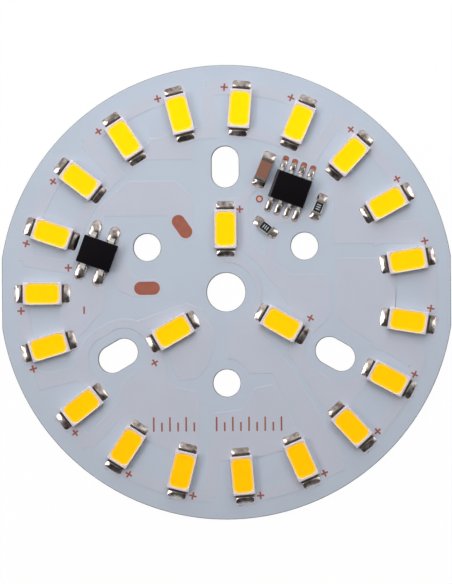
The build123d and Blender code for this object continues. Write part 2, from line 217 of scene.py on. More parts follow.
def shader_of(made):
    """The material's one surface shader."""
    return made.node_tree.nodes["Principled BSDF"]


def material(name, colour, roughness, metallic=0.0, ior=1.5):
    """A new material with its plain values; its nodes are added after it."""
    made = bpy.data.materials.new(name)
    made.use_nodes = True
    shader = shader_of(made)
    shader.inputs["Base Color"].default_value = linear(colour)
    shader.inputs["Roughness"].default_value = roughness
    shader.inputs["Metallic"].default_value = metallic
    shader.inputs["IOR"].default_value = ior
    return made, shader


def add(made, kind, inputs, **settings):
    """Adds a node with its settings; an input takes a value or another node's output."""
    node = made.node_tree.nodes.new("ShaderNode" + kind)
    for name, value in settings.items():
        setattr(node, name, value)
    for name, value in inputs.items():
        if isinstance(value, bpy.types.NodeSocket):
            made.node_tree.links.new(value, node.inputs[name])
        else:
            node.inputs[name].default_value = value
    return node.outputs


def join(made, output, shader, name):
    """Links an output to one of the shader's inputs."""
    made.node_tree.links.new(output, shader.inputs[name])


def noise_of(made, place, grain, detail):
    """A noise pattern of one grain size, in lengths of the part."""
    return add(made, "TexNoise", {"Vector": place, "Scale": 1 / grain, "Detail": detail})["Fac"]


def colour_between(made, shader, share, dark, light):
    """Lets the base colour run between two tones, by a share from 0 to 1."""
    tones = add(made, "Mix", {0: share, 6: linear(dark), 7: linear(light)}, data_type="RGBA")[2]
    join(made, tones, shader, "Base Color")


def roughen(made, shader, share, low, high):
    """Lets the roughness run between two values, by a share from 0 to 1."""
    shade = add(made, "MapRange", {"Value": share, "To Min": low, "To Max": high})["Result"]
    join(made, shade, shader, "Roughness")


def emboss(made, shader, height, strength, depth=0.01 * mm, **inputs):
    """Gives the shading a relief from a pattern."""
    relief = add(made, "Bump", {"Height": height, "Strength": strength, "Distance": depth, **inputs})
    join(made, relief["Normal"], shader, "Normal")


def grained(name, colour, roughness, grain, detail, tones, bump=0.0, bump_depth=0.01 * mm, metallic=0.0):
    """A material that drifts between two tones in a pattern of one grain size; a bump gives it relief."""
    made, shader = material(name, colour, roughness, metallic=metallic)
    place = add(made, "TexCoord", {})["Object"]
    pattern = noise_of(made, place, grain, detail)
    colour_between(made, shader, pattern, *tones)
    if bump:
        emboss(made, shader, pattern, bump, bump_depth)
    return made


def coat_node(name, *coats):
    """Gives a CAD node its materials, keeps its shape, and returns its mesh."""
    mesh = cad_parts[name].data
    mesh.materials.clear()
    for coat in coats:
        mesh.materials.append(coat)
    return mesh


def dress(piece, made):
    """Gives a piece its material and hangs it on its body."""
    piece.data.materials.clear()
    piece.data.materials.append(made)
    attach(piece, "root")


# Rolled aluminium: the rolls leave fine straight lines about 0.15 mm apart, drawn here so that they show,
# and the light slides along them in soft streaks.
rolled_aluminium, shader = material("rolled_aluminium", "#C9CACC", 0.38, metallic=1.0)
place = add(rolled_aluminium, "TexCoord", {})["Object"]
along_rolls = (1 / (3 * mm), 1 / (0.15 * mm), 1 / (3 * mm))
stretched = add(rolled_aluminium, "Mapping", {"Vector": place, "Scale": along_rolls})["Vector"]
lines = noise_of(rolled_aluminium, stretched, 1.0, 4.0)
roughen(rolled_aluminium, shader, lines, 0.28, 0.5)
colour_between(rolled_aluminium, shader, lines, "#B4B6BA", "#D8D9DB")
emboss(rolled_aluminium, shader, lines, 0.25)

core = punched_disc("aluminium_core", plate_low.z, plate_high.z)
bevel(lambda edge: all(corner.co.z < close for corner in edge.verts) and is_sharp(edge),
      punched_round, 2, clamp_overlap=True)
smooth_below(30)
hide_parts("base_plate")
dress(core, rolled_aluminium)

# The punch leaves its walls torn and darker than the rolled faces.
sheared_wall, shader = material("sheared_aluminium", "#6F7276", 0.6, metallic=0.9)
place = add(sheared_wall, "TexCoord", {})["Object"]
down_wall = (1 / (0.12 * mm), 1 / (0.12 * mm), 1 / (1.5 * mm))
stretched = add(sheared_wall, "Mapping", {"Vector": place, "Scale": down_wall})["Vector"]
tears = noise_of(sheared_wall, stretched, 1.0, 3.0)
colour_between(sheared_wall, shader, tears, "#55585C", "#85888C")
core.data.materials.append(sheared_wall)
wall_share = 0.3
for face in core.data.polygons:
    if abs(face.normal.z) < wall_share:
        face.material_index = 1

# Dielectric: a 0.1 mm film of ceramic-filled epoxy that glues the copper to the plate and carries
# its heat away. It was punched together with the plate; its bevelled edge is painted dark as painted
# shade, for the thin dark rim round the holes and the outline.
film_low, film_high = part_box("dielectric_layer")
filled_epoxy = grained("filled_epoxy", "#C4C9D4", roughness=0.5, grain=0.12 * mm, detail=2.0,
                       tones=("#B9BFCB", "#D0D4DD"))

film_edge_width = 0.07 * mm
# Painted shade: the film's bevel and walls get a dark brown-grey instead of the film's pale tone.
shaded_film_edge = grained("film_edge_painted_shade", "#7D7671", roughness=0.7, grain=0.2 * mm, detail=3.0,
                     tones=("#665F5A", "#948D86"))
film = punched_disc("bonding_film", film_low.z, film_high.z)
bevel(lambda edge: on_level(edge, film_high.z) and is_sharp(edge), film_edge_width, 1)
smooth_below(30)
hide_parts("dielectric_layer")
dress(film, filled_epoxy)
film.data.materials.append(shaded_film_edge)
flat_share = 0.9
for face in film.data.polygons:
    if abs(face.normal.z) < flat_share:
        face.material_index = 1

# Copper foil: 35 micron copper, etched to the circuit. It shows bare only on the two wire pads and
# round the solder, where its thin organic coat has dulled it to a brick red.
etched_copper, shader = material("etched_copper", "#A8705C", 0.5, metallic=0.5)
place = add(etched_copper, "TexCoord", {})["Object"]
colour_between(etched_copper, shader, noise_of(etched_copper, place, 0.9 * mm, 5.0), "#9A5241", "#B46E59")
emboss(etched_copper, shader, noise_of(etched_copper, place, 0.1 * mm, 2.0), 0.3)
coat_node("copper_foil", etched_copper)

# Solder mask: white ink printed over the whole board and cured, open only at the pads. It is thin,
# so it looks a little warmer over copper, and it slopes down over the edge of every copper area.
mask_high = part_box("solder_mask")[1]
copper_step = 0.035 * mm
bare_top = mask_high.z - copper_step
slope_width = 0.13 * mm
edge_band = 0.2 * mm
arc_step = math.radians(2)
short_edge = 0.25 * mm
flat_reach = 29 * mm
hole_reach = 4 * mm
round_middles = [(0, 0), *[polar(screw_hole_circle, angle) for angle in screw_hole_angles]]
for angle in slot_angles:
    for side in (-1, 1):
        round_middles.append(polar(slot_radius + side * (slot_length / 2 - screw_hole_radius), angle))


def arc_middle(edge):
    """The middle that both ends of a sharp edge lie round, if there is one."""
    first, second = (corner.co for corner in edge.verts)
    if abs(first.z - second.z) > close or (first - second).length < short_edge:
        return None
    if not is_sharp(edge, sharp / 2):
        return None
    if abs(first.x - second.x) < close and abs(first.x) > flat_reach:
        return None
    for middle in round_middles:
        reach = [(corner.co.xy - Vector(middle)).length for corner in edge.verts]
        if abs(reach[0] - reach[1]) < 2 * close and (middle == (0, 0) or reach[0] < hole_reach):
            return Vector(middle)
    return None


def round_arcs(piece):
    """Cuts the chords of a coarse arc finer and lays the new corners on the arc."""
    only(piece)
    bpy.ops.object.mode_set(mode="EDIT")
    bpy.ops.mesh.select_all(action="SELECT")
    bpy.ops.mesh.remove_doubles(threshold=weld)
    mesh = bpy.context.edit_object.data
    form = bmesh.from_edit_mesh(mesh)
    form.normal_update()
    circles = {}
    for edge in form.edges:
        middle = arc_middle(edge)
        if middle is not None:
            first, second = (corner.co.xy - middle for corner in edge.verts)
            cuts = int(abs(first.angle(second)) / arc_step)
            if cuts:
                circles.setdefault((*middle, round(first.length, 6), cuts), []).append(edge)
    for (x, y, reach, cuts), chords in circles.items():
        made = bmesh.ops.subdivide_edges(form, edges=chords, cuts=cuts)
        for corner in made["geom_inner"]:
            if isinstance(corner, bmesh.types.BMVert):
                corner.co.xy = Vector((x, y)) + (corner.co.xy - Vector((x, y))).normalized() * reach
    bmesh.update_edit_mesh(mesh)
    bpy.ops.object.mode_set(mode="OBJECT")


def slope_walls(piece):
    """Moves the foot of each step outward, so that the ink slopes down over the copper's edge."""
    only(piece)
    bpy.ops.object.mode_set(mode="EDIT")
    mesh = bpy.context.edit_object.data
    form = bmesh.from_edit_mesh(mesh)
    form.normal_update()
    moves = []
    for corner in form.verts:
        if abs(corner.co.z - bare_top) > 2 * close:
            continue
        walls = []
        for face in corner.link_faces:
            if abs(face.normal.z) < 0.1 and max(v.co.z for v in face.verts) > bare_top + copper_step / 2:
                if all(face.normal.dot(other) < 0.99 for other in walls):
                    walls.append(face.normal.copy())
        off_flats = abs(corner.co.x) < flat_distance - edge_band
        off_rim = corner.co.xy.length < disc_radius - edge_band
        if off_flats and off_rim and walls and len(walls) < 3:
            outward = sum(walls, Vector())
            if outward.length > 0.5:
                share = slope_width / max(outward.normalized().dot(walls[0]), 0.4)
                moves.append((corner, outward.normalized() * share))
    for corner, move in moves:
        flats = [face for face in corner.link_faces if looks_up(face) and face.calc_area() > close ** 2]
        corner.co += move
        for face in flats:
            face.normal_update()
        if any(face.normal.z < 0.5 for face in flats):
            corner.co -= move
            for face in flats:
                face.normal_update()
    bmesh.update_edit_mesh(mesh)
    bpy.ops.object.mode_set(mode="OBJECT")


# The ink lets a little light through, so its slopes show at about half their tilt: normals are raised.
mask_ink, shader = material("printed_mask_ink", "#C1C6D2", 0.5)
place = add(mask_ink, "TexCoord", {})["Object"]
height = add(mask_ink, "SeparateXYZ", {"Vector": place})["Z"]
over_copper = add(mask_ink, "MapRange", {"Value": height, "From Min": bare_top,
                                         "From Max": mask_high.z})["Result"]
tones = add(mask_ink, "Mix", {0: over_copper, 6: linear("#BFC4CE"), 7: linear("#C3C3CC")},
            data_type="RGBA")[2]
clouds = noise_of(mask_ink, place, 4 * mm, 3.0)
drift = add(mask_ink, "MapRange", {"Value": clouds, "To Min": 0.96, "To Max": 1.04})["Result"]
tones = add(mask_ink, "Mix", {0: 1.0, 6: tones, 7: drift}, data_type="RGBA", blend_type="MULTIPLY")[2]
join(mask_ink, tones, shader, "Base Color")
normal = add(mask_ink, "NewGeometry", {})["Normal"]
raised = add(mask_ink, "VectorMath", {0: normal, 1: (0, 0, 0.9)}, operation="ADD")["Vector"]
raised = add(mask_ink, "VectorMath", {0: raised}, operation="NORMALIZE")["Vector"]
emboss(mask_ink, shader, noise_of(mask_ink, place, 0.3 * mm, 2.0), 0.2, Normal=raised)

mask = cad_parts["solder_mask"].copy()
mask.data = mask.data.copy()
mask.name = "mask_coat"
for key in list(mask.keys()):
    del mask[key]
scene.collection.objects.link(mask)
mask.parent = None
round_arcs(mask)
slope_walls(mask)
bpy.ops.object.shade_flat()
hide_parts("solder_mask")
dress(mask, mask_ink)

# LED cups: 22 white moulded polyamide cups with a sloping well, each moulded round its two lead plates.
# The mould leaves soft edges and a fine matt skin; round the window the rim is painted cream, as painted
# light from the yellow fill glowing beside it.
led_count = 22
ring_count = 19
inner_turns = (90, 330, 210)
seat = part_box("led_housing_01")[0].z
cup_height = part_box("led_housing_01")[1].z - seat
cup_length = 5.2 * mm
cup_width = 3.0 * mm
well_length = 4.5 * mm
well_width = 2.62 * mm
well_corner = 0.72 * mm
plate_thickness = 0.2 * mm
cup_corner = 0.12 * mm
outer_round = 0.035 * mm
window_round = 0.09 * mm
end_margin = 0.2 * mm
side_margin = 0.12 * mm


def led_place(number):
    """Place of an LED: its middle from the frame, its long axis outward."""
    low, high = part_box(f"led_housing_{number:02d}")
    middle = (low + high) / 2
    turn = math.atan2(middle.y, middle.x)
    if number > ring_count:
        turn = math.radians(inner_turns[number - ring_count - 1])
    return Matrix.Translation((middle.x, middle.y, seat)) @ Matrix.Rotation(turn, 4, "Z")


led_places = [led_place(number) for number in range(1, led_count + 1)]


def block(name, size, floor, corner, segments, spread):
    """An upright block with rounded corners whose foot is wider or narrower than its top."""
    bpy.ops.mesh.primitive_cube_add(size=1, location=(0, 0, floor + size[2] / 2))
    made = bpy.context.object
    made.name = name
    made.scale = size
    settle(made)
    bevel(lambda edge: is_upright(edge, size[2] / 2), corner, segments)
    bpy.ops.object.mode_set(mode="EDIT")
    pick("verts", lambda vert: vert.co.z < floor + size[2] / 2)
    bpy.ops.transform.resize(value=(1 + spread / size[0], 1 + spread / size[1], 1),
                             center_override=(0, 0, 0))
    bpy.ops.object.mode_set(mode="OBJECT")
    return made


def copy_piece(piece, name, place):
    """A copy with its own mesh, laid in its place."""
    made = piece.copy()
    made.data = piece.data.copy()
    made.name = name
    made.data.transform(place)
    scene.collection.objects.link(made)
    return made


moulded_white = grained("moulded_white_polyamide", "#E6DADA", roughness=0.5, grain=0.15 * mm, detail=2.0,
                        tones=("#E0D3D5", "#ECE1E0"), bump=0.25)
shader = shader_of(moulded_white)
shader.inputs["Subsurface Weight"].default_value = 0.25
shader.inputs["Subsurface Radius"].default_value = (1.0, 0.8, 0.5)
shader.inputs["Subsurface Scale"].default_value = 0.25 * mm

# Painted light: a cream band round the window stands for the fill's yellow glow on the white rim.
painted_fill_glow_rim = grained("moulded_white_painted_fill_glow", "#F6E8BC", roughness=0.5, grain=0.15 * mm, detail=2.0,
                  tones=("#F2E0AC", "#FBEFC9"))

well_depth = cup_height - plate_thickness
well_spread = -0.5 * mm
over_rim = 0.1 * mm
rim_width = 0.11 * mm
foot_spread = 0.12 * mm
cup_size = (cup_length - foot_spread, cup_width - foot_spread, cup_height)
cup = block("moulded_cup", cup_size, 0, cup_corner, 3, foot_spread)
well = block("well", (well_length, well_width, well_depth), plate_thickness, well_corner, 6, well_spread)
bpy.ops.object.mode_set(mode="EDIT")
pick("faces", looks_up)
bpy.ops.mesh.extrude_region_move(TRANSFORM_OT_translate={"value": (0, 0, over_rim)})
bpy.ops.object.mode_set(mode="OBJECT")
subtract(cup, [well])


def on_rim(edge):
    """True for an edge of the cup's upper rim, outside or round the window."""
    return on_level(edge, cup_height) and is_sharp(edge, sharp / 2)


def at_window(edge):
    """True for an edge that keeps off the cup's outer walls."""
    reach_x = cup_length / 2 - end_margin
    reach_y = cup_width / 2 - side_margin
    return all(abs(corner.co.x) < reach_x and abs(corner.co.y) < reach_y for corner in edge.verts)


bevel(lambda edge: on_rim(edge) and not at_window(edge), outer_round, 2)
bevel(lambda edge: on_rim(edge) and at_window(edge), window_round, 3)
smooth_below(35)
for number, spot in enumerate(led_places, 1):
    piece = copy_piece(cup, f"moulded_cup_{number:02d}", spot)
    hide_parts(f"led_housing_{number:02d}")
    dress(piece, moulded_white)
    piece.data.materials.append(painted_fill_glow_rim)
    for face in piece.data.polygons:
        corners = [spot.inverted() @ piece.data.vertices[index].co for index in face.vertices]
        reach_x = well_length / 2 + rim_width
        reach_y = well_width / 2 + rim_width
        inside = all(abs(corner.x) < reach_x and abs(corner.y) < reach_y for corner in corners)
        if inside and max(corner.z for corner in corners) > plate_thickness + 0.1 * mm:
            face.material_index = 1
bpy.data.objects.remove(cup)

# Phosphor: silicone with yellow phosphor powder, dosed into the cup and cured, a hair below the rim.
# A faint red emission paints a glow into the powder whatever the light, and its face is satin. The
# cups are painted orange towards the board's lower edge and lemon towards its upper one, as painted shade
# for the light falling off down the board.
fill_drop = 0.03 * mm
thin_edge = 0.18 * mm
thin_edge_drop = 0.02 * mm
middle_edge = 0.3 * mm
middle_drop = 0.012 * mm


def phosphor(name, orange, lemon):
    """Filled silicone with a painted glow, painted orange towards the board's lower edge and lemon towards
    its upper one as painted shade.
    """
    made, shader = material(name, lemon, 0.35, ior=1.41)
    shader.inputs["Specular IOR Level"].default_value = 0.06
    # Painted glow: a faint red emission, whatever light falls on it.
    shader.inputs["Emission Color"].default_value = linear("#FF2000")
    shader.inputs["Emission Strength"].default_value = 0.4
    place = add(made, "TexCoord", {})["Object"]
    powder = noise_of(made, place, 0.1 * mm, 2.0)
    clouds = noise_of(made, place, 1.6 * mm, 2.0)
    # Painted shade: the colour runs orange low on the board and lemon high on it.
    up_board = add(made, "SeparateXYZ", {"Vector": place})["Y"]
    painted_falloff_share = add(made, "MapRange", {"Value": up_board, "From Min": -disc_radius,
                                      "From Max": disc_radius})["Result"]
    blend = add(made, "Mix", {0: 0.25, 2: painted_falloff_share, 3: clouds})[0]
    blend = add(made, "Mix", {0: 0.1, 2: blend, 3: powder})[0]
    colour_between(made, shader, blend, orange, lemon)
    emboss(made, shader, powder, 0.2)
    return made


deep_phosphor = phosphor("phosphor_silicone", "#FFCE00", "#FFF000")

# Where the silicone thins out over the sloping wall of the cup, white shines through and it looks paler.
thin_phosphor = phosphor("phosphor_silicone_over_wall", "#FFD340", "#FFF258")

fill_share = 1 - fill_drop / well_depth
fill_size = (well_length + well_spread * (1 - fill_share), well_width + well_spread * (1 - fill_share),
             well_depth - fill_drop)
fill = block("fill", fill_size, plate_thickness, well_corner, 6, well_spread * fill_share)
bpy.ops.object.mode_set(mode="EDIT")
pick("faces", looks_up)
for width, drop in ((thin_edge, thin_edge_drop), (middle_edge, middle_drop)):
    bpy.ops.mesh.inset(thickness=width)
    bpy.ops.transform.translate(value=(0, 0, -drop))
bpy.ops.object.mode_set(mode="OBJECT")
smooth_below(40)
for number, spot in enumerate(led_places, 1):
    piece = copy_piece(fill, f"phosphor_fill_{number:02d}", spot)
    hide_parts(f"led_phosphor_{number:02d}")
    dress(piece, deep_phosphor)
    piece.data.materials.append(thin_phosphor)
    for face in piece.data.polygons:
        if 0.5 < face.normal.z < 0.997:
            face.material_index = 1
bpy.data.objects.remove(fill)

# Lead plates and leads: copper alloy strip, stamped and plated, and moulded into the packages. The chips'
# leads are tinned in a bath that leaves them matt, so they look nearly white from everywhere.
matt_tin = grained("matt_tin_plate", "#E2DED9", roughness=0.55, metallic=1.0, grain=0.35 * mm, detail=3.0,
                   tones=("#C9C3BC", "#F2F0EC"))
for name in ("bridge_leads", "driver_leads"):
    coat_node(name, matt_tin)

# The LEDs' own plates are silver-plated; the strip that shows is painted dark brown, partly flux residue
# from the oven and partly painted shade from the cup beside it. The ends of their ties, cut on the long
# sides of the cups, stay pale.
# Painted shade in part: the silver is given dark brown tones, which stand also for the cup's shade.
shaded_plate_silver = grained("plate_flux_and_painted_shade", "#5F524D", roughness=0.35, metallic=1.0, grain=0.4 * mm,
                         detail=3.0, tones=("#483C38", "#776A64"))
tie_start = 1.15 * mm
for face in coat_node("led_terminals", shaded_plate_silver, matt_tin).polygons:
    spot = min(led_places, key=lambda place: (place.translation - face.center).length)
    if abs((spot.inverted() @ face.center).y) > tie_start:
        face.material_index = 1

# Solder joints: tin alloy paste, melted in the oven and frozen as smooth pillows that wet the pad and
# climb the terminal. Flux leaves them a warm grey with darker bands, and each froze a little differently.
reflowed_solder, shader = material("reflowed_solder", "#A39C97", 0.3, metallic=1.0)
place = add(reflowed_solder, "TexCoord", {})["Object"]
patches = noise_of(reflowed_solder, place, 0.8 * mm, 1.0)
patches = add(reflowed_solder, "MapRange", {"Value": patches, "From Min": 0.3, "From Max": 0.7})["Result"]
colour_between(reflowed_solder, shader, patches, "#7D736F", "#CCC6C1")
roughen(reflowed_solder, shader, patches, 0.1, 0.26)
emboss(reflowed_solder, shader, patches, 0.25, 0.03 * mm)

pad_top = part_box("copper_foil")[1].z
lowest_share = 0.1
still_height = 0.02 * mm
noise_scale = 1100
large_uneven = 0.025 * mm
resistor_uneven = 0.02 * mm
small_uneven = 0.012 * mm


def solder_pillow(inner, end, outer, width, rise, crown, sides, side_drop, corner_cut):
    """Solder from a terminal's end out to the edge of its pad.

    Lengthwise it runs down straight at a crown of 1 and as a dome above. Crosswise it falls by the side
    drop, evenly where sides is near 1 and only at its edges where it is large. The corner cut rounds its
    outer end.
    """
    length = outer - inner
    bpy.ops.mesh.primitive_cube_add(size=1, location=((inner + outer) / 2, 0, pad_top + rise / 2))
    pillow = bpy.context.object
    pillow.scale = (length, width, rise)
    settle(pillow)
    bpy.ops.object.mode_set(mode="EDIT")
    bpy.ops.mesh.select_all(action="SELECT")
    bpy.ops.mesh.subdivide(number_cuts=3)
    form = bmesh.from_edit_mesh(pillow.data)
    for corner in form.verts:
        along = (corner.co.x - inner) / length
        across = abs(corner.co.y) / (width / 2)
        up = (corner.co.z - pad_top) / rise
        past = max(0, (corner.co.x - end) / (outer - end))
        fall = (1 - (1 - lowest_share) * min(past, 1) ** crown) * (1 - side_drop * across ** sides)
        corner.co.z = pad_top + rise * up * fall
        if along > 0.9:
            corner.co.x -= corner_cut * across ** 3
    bmesh.update_edit_mesh(pillow.data)
    pick("edges", lambda edge: is_sharp(edge)
         and all(abs(corner.co.z - pad_top) < close for corner in edge.verts))
    bpy.ops.transform.edge_crease(value=1)
    bpy.ops.object.mode_set(mode="OBJECT")
    smooth = pillow.modifiers.new("smooth", "SUBSURF")
    smooth.levels = 2
    smooth.render_levels = 2
    apply_all(pillow)
    bpy.ops.object.shade_smooth()
    return pillow


def merged(parts, name):
    """Joins like parts to one piece."""
    bpy.ops.object.select_all(action="DESELECT")
    for part in parts:
        part.select_set(True)
    bpy.context.view_layer.objects.active = parts[0]
    bpy.ops.object.join()
    whole = bpy.context.object
    whole.name = name
    return whole


def joints(name, node, groups):
    """One piece of many joints; each group is a pillow, how uneven it froze, and its places."""
    parts = []
    for pillow, uneven, places in groups:
        for spot in places:
            part = copy_piece(pillow, f"{name}_part", spot)
            for corner in part.data.vertices:
                lift = corner.co.z - pad_top
                if lift > still_height:
                    push = noise.noise_vector(corner.co * noise_scale) * uneven
                    corner.co += Vector((push.x, push.y, max(push.z, -lift / 2)))
            parts.append(part)
        bpy.data.objects.remove(pillow)
    whole = merged(parts, name)
    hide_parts(node)
    dress(whole, reflowed_solder)


def flat_place(place):
    """The same place with its height left out, because the pillows hold their own."""
    return Matrix.Translation((place.translation.x, place.translation.y, 0)) @ place.to_3x3().to_4x4()


half_turn = Matrix.Rotation(math.pi, 4, "Z")
led_ends = []
for spot in led_places:
    led_ends += [flat_place(spot), flat_place(spot) @ half_turn]
led_pillow = solder_pillow(inner=2.84 * mm, end=3.0 * mm, outer=3.69 * mm, width=2.4 * mm, rise=0.33 * mm,
                           crown=1.15, sides=5, side_drop=0.75, corner_cut=0.16 * mm)
joints("led_joints", "led_solder", [(led_pillow, large_uneven, led_ends)])

# Chip joints: the same solder on the rectifier's, the driver's and the chip parts' pads.
bridge_turn = -20
bridge_pitch = 2.54 * mm
driver_turn = -20.5
driver_pitch = 1.27 * mm
capacitor_turn = 67
resistor_places = ((12.3, 11.1, 67), (5.3, 8.5, -39))


def turned(x, y, degrees):
    """A place on the board and a turn about its upright axis."""
    return Matrix.Translation((x, y, 0)) @ Matrix.Rotation(math.radians(degrees), 4, "Z")


def middle_of(node):
    """The middle of a CAD node's box."""
    low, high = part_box(node)
    return (low + high) / 2


def lead_places(place, pitch, count, side):
    """Places of the leads along one long side, each with its lead along +X."""
    return [place @ turned((number - (count - 1) / 2) * pitch, 0, side) for number in range(count)]


bridge_place = turned(*middle_of("bridge_body").xy, bridge_turn)
driver_place = turned(*middle_of("driver_body").xy, driver_turn)
capacitor_place = turned(*middle_of("capacitor_body").xy, capacitor_turn)
resistor_spots = [turned(x * mm, y * mm, turn) for x, y, turn in resistor_places]
both_ends = (Matrix.Identity(4), half_turn)
bridge_leads = [spot for side in (90, -90) for spot in lead_places(bridge_place, bridge_pitch, 2, side)]
bridge_pillow = solder_pillow(inner=2.0 * mm, end=3.2 * mm, outer=4.12 * mm, width=1.4 * mm, rise=0.46 * mm,
                              crown=1.8, sides=1.5, side_drop=0.55, corner_cut=0.45 * mm)
driver_pillow = solder_pillow(inner=2.3 * mm, end=3.0 * mm, outer=3.92 * mm, width=0.77 * mm, rise=0.38 * mm,
                              crown=2.2, sides=1.3, side_drop=0.4, corner_cut=0.24 * mm)
short_pillow = solder_pillow(inner=2.3 * mm, end=3.0 * mm, outer=3.5 * mm, width=0.76 * mm, rise=0.34 * mm,
                             crown=1.6, sides=1.3, side_drop=0.4, corner_cut=0.2 * mm)
capacitor_pillow = solder_pillow(inner=1.5 * mm, end=1.65 * mm, outer=2.43 * mm, width=1.66 * mm,
                                 rise=0.42 * mm, crown=1.3, sides=4, side_drop=0.7, corner_cut=0.2 * mm)
resistor_pillow = solder_pillow(inner=0.9 * mm, end=1.05 * mm, outer=1.83 * mm, width=1.3 * mm,
                                rise=0.36 * mm, crown=1.3, sides=3, side_drop=0.7, corner_cut=0.2 * mm)
joints("chip_joints", "component_solder", [
    (bridge_pillow, large_uneven, bridge_leads),
    (driver_pillow, small_uneven, lead_places(driver_place, driver_pitch, 4, -90)),
    (short_pillow, small_uneven, lead_places(driver_place, driver_pitch, 4, 90)),
    (capacitor_pillow, large_uneven, [capacitor_place @ end for end in both_ends]),
    (resistor_pillow, resistor_uneven, [spot @ end for spot in resistor_spots for end in both_ends]),
])

# Moulded chips: the rectifier and the driver, black filled epoxy moulded round their leads in two halves.
# The walls slope away from the parting line, and the spark-eroded mould leaves a fine dull grain.
black_epoxy = grained("black_filled_epoxy", "#0A060B", roughness=0.6, grain=0.09 * mm, detail=3.0,
                      tones=("#050306", "#130D13"), bump=0.4, bump_depth=0.02 * mm)
shader_of(black_epoxy).inputs["Specular IOR Level"].default_value = 0.06
draft = math.radians(6)
moulded_round = 0.06 * mm


def moulded_body(name, node, length, width, waist):
    """Two tapered halves that meet at the parting line."""
    low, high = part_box(node)
    bpy.ops.mesh.primitive_cube_add(size=1, location=(0, 0, (low.z + high.z) / 2))
    body = bpy.context.object
    body.name = name
    body.scale = (length, width, high.z - low.z)
    settle(body)
    parting = low.z + waist
    bpy.ops.object.mode_set(mode="EDIT")
    bpy.ops.mesh.select_all(action="SELECT")
    bpy.ops.mesh.bisect(plane_co=(0, 0, parting), plane_no=(0, 0, 1), threshold=weld)
    for level in (low.z, high.z):
        draw = 2 * abs(level - parting) * math.tan(draft)
        pick("verts", lambda corner: abs(corner.co.z - level) < close)
        bpy.ops.transform.resize(value=(1 - draw / length, 1 - draw / width, 1),
                                 center_override=(0, 0, level))
    bpy.ops.object.mode_set(mode="OBJECT")
    bevel(is_sharp, moulded_round, 2)
    smooth_below(30)
    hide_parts(node)
    return body


bridge = moulded_body("rectifier_moulding", "bridge_body", length=4.7 * mm, width=3.7 * mm, waist=0.6 * mm)
bridge.data.transform(bridge_place)
dress(bridge, black_epoxy)

# The driver has a round dimple at its first lead and a polished bevel along that end of its top, whose
# colour is painted lighter as a painted sheen.
driver = moulded_body("driver_moulding", "driver_body", length=4.9 * mm, width=3.8 * mm, waist=0.58 * mm)
driver_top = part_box("driver_body")[1].z
dimple_radius = 0.275 * mm
dimple_depth = 0.06 * mm
dimple_place = (-1.5 * mm, -1.05 * mm, driver_top)
bevel_start = -2.1 * mm
small_round = 32
bpy.ops.mesh.primitive_cylinder_add(vertices=small_round, radius=dimple_radius, depth=2 * dimple_depth,
                                    location=dimple_place)
dimple = bpy.context.object
settle(dimple)
subtract(driver, [dimple])
bpy.ops.object.mode_set(mode="EDIT")
bpy.ops.mesh.select_all(action="SELECT")
bpy.ops.mesh.bisect(plane_co=(bevel_start, 0, driver_top), plane_no=(-1, 0, 1), threshold=weld,
                    use_fill=True, clear_outer=True)
bpy.ops.object.mode_set(mode="OBJECT")
smooth_below(30)
# Painted sheen: the bevel is coloured paler than the black top; its lower roughness is real.
sheen_painted_epoxy = grained("black_epoxy_bevel_painted_sheen", "#332C30", roughness=0.45, grain=0.12 * mm,
                       detail=2.0, tones=("#261F23", "#40373C"))
bevel_faces = [face.index for face in driver.data.polygons if face.normal.x < -0.5 and face.normal.z > 0.5]
driver.data.transform(driver_place)
dress(driver, black_epoxy)
driver.data.materials.append(sheen_painted_epoxy)
for index in bevel_faces:
    driver.data.polygons[index].material_index = 1

# Chip capacitor and resistors: fired ceramic blocks whose ends were dipped in silver and plated with tin.
# The caps have soft edges and stand slightly proud of the block.
fired_brown = grained("fired_brown_ceramic", "#85533F", roughness=0.45, grain=0.2 * mm, detail=4.0,
                      tones=("#774733", "#93604B"), bump=0.3, bump_depth=0.02 * mm)
coat_node("capacitor_body", fired_brown)
fired_alumina = grained("fired_alumina", "#E6E2DA", roughness=0.55, grain=0.1 * mm, detail=3.0,
                        tones=("#DBD6CC", "#EFECE6"))
coat_node("resistor_bodies", fired_alumina)

# The black glass coat is printed on the resistor, so it is thin and has a soft upper edge.
glass_coat = grained("fired_black_glass_coat", "#15151A", roughness=0.25, grain=0.15 * mm, detail=2.0,
                     tones=("#0F0F13", "#1F1F25"))
coat_low, coat_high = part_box("resistor_coats")
coat_size = (1.36 * mm, 1.06 * mm, coat_high.z - coat_low.z)
coat_corner = 0.06 * mm
coat_round = 0.012 * mm
parts = []
for spot in resistor_spots:
    part = block("coat_part", coat_size, coat_low.z, coat_corner, 2, 0)
    bevel(lambda edge: on_level(edge, coat_high.z), coat_round, 2)
    part.data.transform(spot)
    parts.append(part)
coats = merged(parts, "printed_glass_coats")
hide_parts("resistor_coats")
dress(coats, glass_coat)

# The tin on the caps is dulled and stained by the oven, and the capacitor's caps are given darker tones than
# the resistors'.
cap_corner = 0.09 * mm
cap_round = 0.07 * mm


def oven_dulled_tin(name, dark, light):
    """Tin whose stains are darker and smoother, or lighter and rougher."""
    made, shader = material(name, dark, 0.3, metallic=1.0)
    stain = noise_of(made, add(made, "TexCoord", {})["Object"], 0.5 * mm, 4.0)
    colour_between(made, shader, stain, dark, light)
    roughen(made, shader, stain, 0.2, 0.4)
    return made


plain_tin = oven_dulled_tin("oven_dulled_tin", "#786F6B", "#BBB4B0")
darker_tin = oven_dulled_tin("oven_dulled_tin_darker", "#605956", "#96908D")


